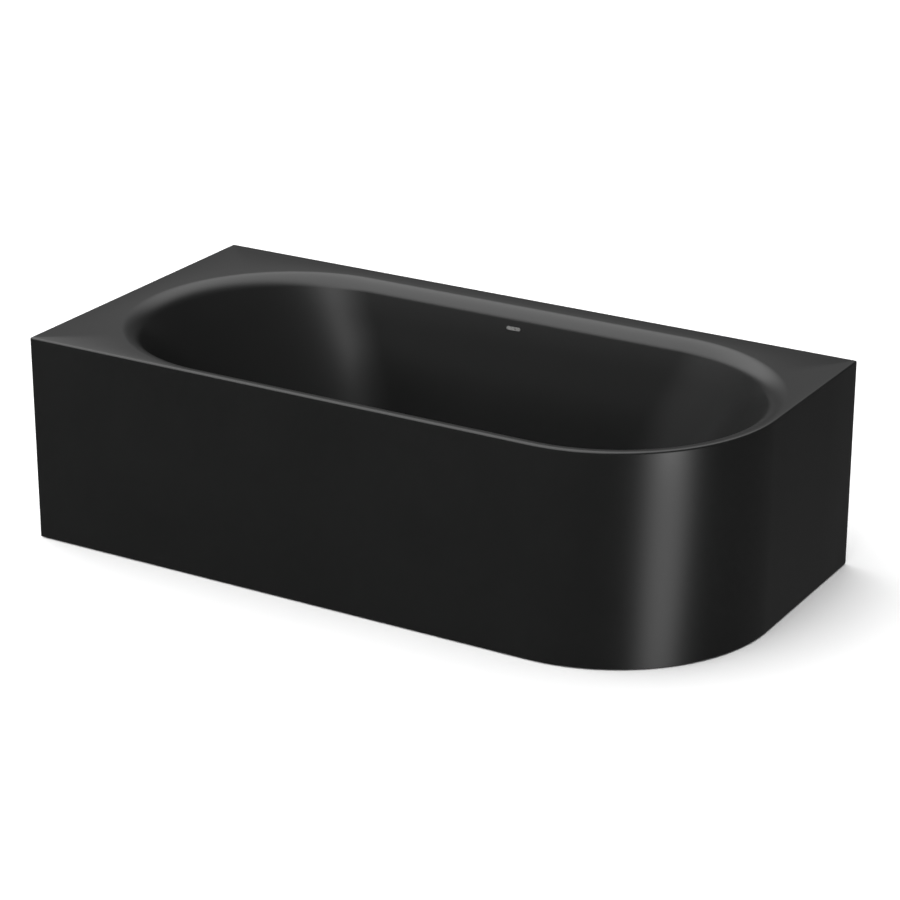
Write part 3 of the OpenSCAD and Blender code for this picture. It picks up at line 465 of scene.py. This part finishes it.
def make_apron(face_mat):
    """One sheet folded round the front, the rounded corner and the right-hand end, with returns and a hem."""
    t = SHEET_T
    corner_n = 72
    inner_fold = 0.0003

    def path(e):
        """Outline of the apron moved inwards by e, from the left return to the right return."""
        pts = []
        r_fold = max(FOLD_R - e, inner_fold)
        x0, y0, x1, y1 = -HALF_L + e, -HALF_W + e, HALF_L - e, HALF_W - e
        pts.append((x0, -HALF_W + RETURN_W))
        for i in range(7):
            a = math.pi + math.pi / 2 * i / 6
            pts.append((x0 + r_fold * (1 + math.cos(a)), y0 + r_fold * (1 + math.sin(a))))
        for i in range(1, 4):
            pts.append((lerp(x0 + r_fold, RIGHT_X, i / 4), y0))
        for i in range(corner_n + 1):
            a = -math.pi / 2 + math.pi / 2 * i / corner_n
            pts.append((RIGHT_X + (CORNER_R - e) * math.cos(a), BASIN_Y + (CORNER_R - e) * math.sin(a)))
        for i in range(1, 3):
            pts.append((x1, lerp(BASIN_Y, y1 - r_fold, i / 3)))
        for i in range(7):
            a = math.pi / 2 * i / 6
            pts.append((x1 - r_fold * (1 - math.cos(a)), y1 - r_fold * (1 - math.sin(a))))
        pts.append((HALF_L - RETURN_W, y1))
        return pts

    z0, z1 = APRON_LOW.z, APRON_HIGH.z
    fold = 0.0012
    section = [(0, z1), (0, z0 + fold), (fold * 0.3, z0 + fold * 0.3), (fold, z0),
               (HEM_W, z0), (HEM_W, z0 + t), (t, z0 + t), (t, z1)]
    rings = [[(x, y, z) for x, y in path(e)] for e, z in section]
    verts, faces = bridge(rings, closed_rings=False, closed_path=True)
    count = len(rings[0])
    faces.append(tuple(k * count for k in range(len(rings))))
    faces.append(tuple(k * count + count - 1 for k in reversed(range(len(rings)))))
    apron = new_mesh_object("apron_sheet", verts, faces, [face_mat])
    bm = bmesh.new()
    bm.from_mesh(apron.data)
    bmesh.ops.recalc_face_normals(bm, faces=bm.faces)
    bm.to_mesh(apron.data)
    bm.free()
    sharpen(apron, 40)
    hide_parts("apron_panel")
    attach(apron, "bath")


# ---------- Studio ----------

def make_floor(mat):
    size = 30
    floor = new_mesh_object("floor", [(-size, -size, 0), (size, -size, 0), (size, size, 0), (-size, size, 0)],
                            [(0, 1, 2, 3)], [mat])
    floor.visible_glossy = False


def area_light(name, place, target, size, power):
    data = bpy.data.lights.new(name, "AREA")
    data.shape = "RECTANGLE"
    data.size, data.size_y = size
    data.energy = power
    light = bpy.data.objects.new(name, data)
    light.location = place
    light.visible_camera = False
    light.rotation_euler = (Vector(target) - Vector(place)).to_track_quat("-Z", "Y").to_euler()
    bpy.context.scene.collection.objects.link(light)
    return light


def make_world():
    """Soft studio: one wide panel overhead, dim surroundings and an upright strip low on the right."""
    panel_across = [(-3.6, 0.0), (-2.6, 1.0), (0.15, 1.0), (0.65, 0.0)]
    panel_along = [(-5.0, 0.0), (-3.8, 2.7), (-1.0, 2.5), (0.0, 2.3),
                   (1.0, 1.6), (1.6, 0.6), (1.95, 0.09), (2.6, 0.0)]
    surroundings = [(-0.2, 0.09), (0.0, 0.12), (0.3, 0.08), (0.6, 0.15), (1.0, 0.3)]
    strip_azimuth = math.radians(-25.5)
    strip_width = [(0.0, 2.5), (0.12, 2.5), (0.32, 0.0)]
    strip_height = [(-0.95, 0.0), (-0.7, 1.0), (-0.15, 1.0), (0.05, 0.0)]
    world = bpy.data.worlds.new("studio")
    bpy.context.scene.world = world
    world.use_nodes = True
    tree = world.node_tree
    tree.nodes.clear()
    direction = tree.nodes.new("ShaderNodeTexCoord").outputs["Generated"]

    def along(axis):
        made = tree.nodes.new("ShaderNodeVectorMath")
        made.operation = "DOT_PRODUCT"
        made.inputs[1].default_value = axis
        tree.links.new(direction, made.inputs[0])
        return made.outputs["Value"]

    def combine(operation, first, second=0.0):
        made = tree.nodes.new("ShaderNodeMath")
        made.operation = operation
        for value, socket in zip((first, second), made.inputs):
            if isinstance(value, float):
                socket.default_value = value
            else:
                tree.links.new(value, socket)
        return made.outputs[0]

    def profile(source, points):
        """Brightness that runs straight from point to point of (source, value)."""
        low, high = points[0][0], points[-1][0]
        top = max(value for _, value in points)
        made = tree.nodes.new("ShaderNodeValToRGB")
        ends = made.color_ramp.elements
        while len(ends) < len(points):
            ends.new(0.5)
        for end, (place, value) in zip(ends, points):
            end.position = (place - low) / (high - low)
            end.color = (value / top, value / top, value / top, 1)
        spread = tree.nodes.new("ShaderNodeMapRange")
        spread.inputs["From Min"].default_value = low
        spread.inputs["From Max"].default_value = high
        tree.links.new(source, spread.inputs["Value"])
        tree.links.new(spread.outputs["Result"], made.inputs["Fac"])
        return combine("MULTIPLY", made.outputs["Color"], top)

    rise = along((0, 0, 1))
    above = combine("MAXIMUM", rise, 0.02)
    panel = combine("MULTIPLY", profile(combine("DIVIDE", along((1, 0, 0)), above), panel_across),
                    profile(combine("DIVIDE", along((0, 1, 0)), above), panel_along))
    ahead = combine("MAXIMUM", along((math.cos(strip_azimuth), math.sin(strip_azimuth), 0)), 0.02)
    aside = combine("ABSOLUTE", along((-math.sin(strip_azimuth), math.cos(strip_azimuth), 0)))
    strip = combine("MULTIPLY", profile(combine("DIVIDE", aside, ahead), strip_width),
                    profile(rise, strip_height))
    light = combine("ADD", combine("ADD", panel, strip), profile(rise, surroundings))

    lit = tree.nodes.new("ShaderNodeBackground")
    tree.links.new(light, lit.inputs["Strength"])
    plain = tree.nodes.new("ShaderNodeBackground")
    for background in (lit, plain):
        background.inputs["Color"].default_value = (1, 1, 1, 1)
    mix = tree.nodes.new("ShaderNodeMixShader")
    path = tree.nodes.new("ShaderNodeLightPath")
    tree.links.new(path.outputs["Is Camera Ray"], mix.inputs[0])
    tree.links.new(lit.outputs[0], mix.inputs[1])
    tree.links.new(plain.outputs[0], mix.inputs[2])
    out = tree.nodes.new("ShaderNodeOutputWorld")
    tree.links.new(mix.outputs[0], out.inputs["Surface"])


# ---------- Build ----------

make_camera()
bpy.context.scene.view_settings.view_transform = "Standard"

enamel = matte_enamel()
ground = ground_enamel()
SLOT_MATERIALS = {
    "enamel_black": enamel,
    "zinc_plate": galvanised(),
    "stainless": satin_steel(),
    "rubber_black": black_rubber(),
    "bitumen": bitumen_mat(),
    "foam": pale_foam(),
    "white_plastic": moulded_plastic("white_plastic", (0.74, 0.74, 0.72)),
    "grey_plastic": moulded_plastic("grey_plastic", (0.24, 0.25, 0.27)),
    "brass": turned_brass(),
}
for part in frame["record"]["subparts"]:
    node = NODES[part["node"]]
    node.data.materials.clear()
    node.data.materials.append(SLOT_MATERIALS[part["material_slot"]])

make_shell(enamel, ground)
make_apron(enamel)
make_floor(studio_floor())
make_world()
area_light("low_right", (1.97, -0.90, 0.16), (0.80, -0.33, 0.3), (0.35, 0.2), 1.0)
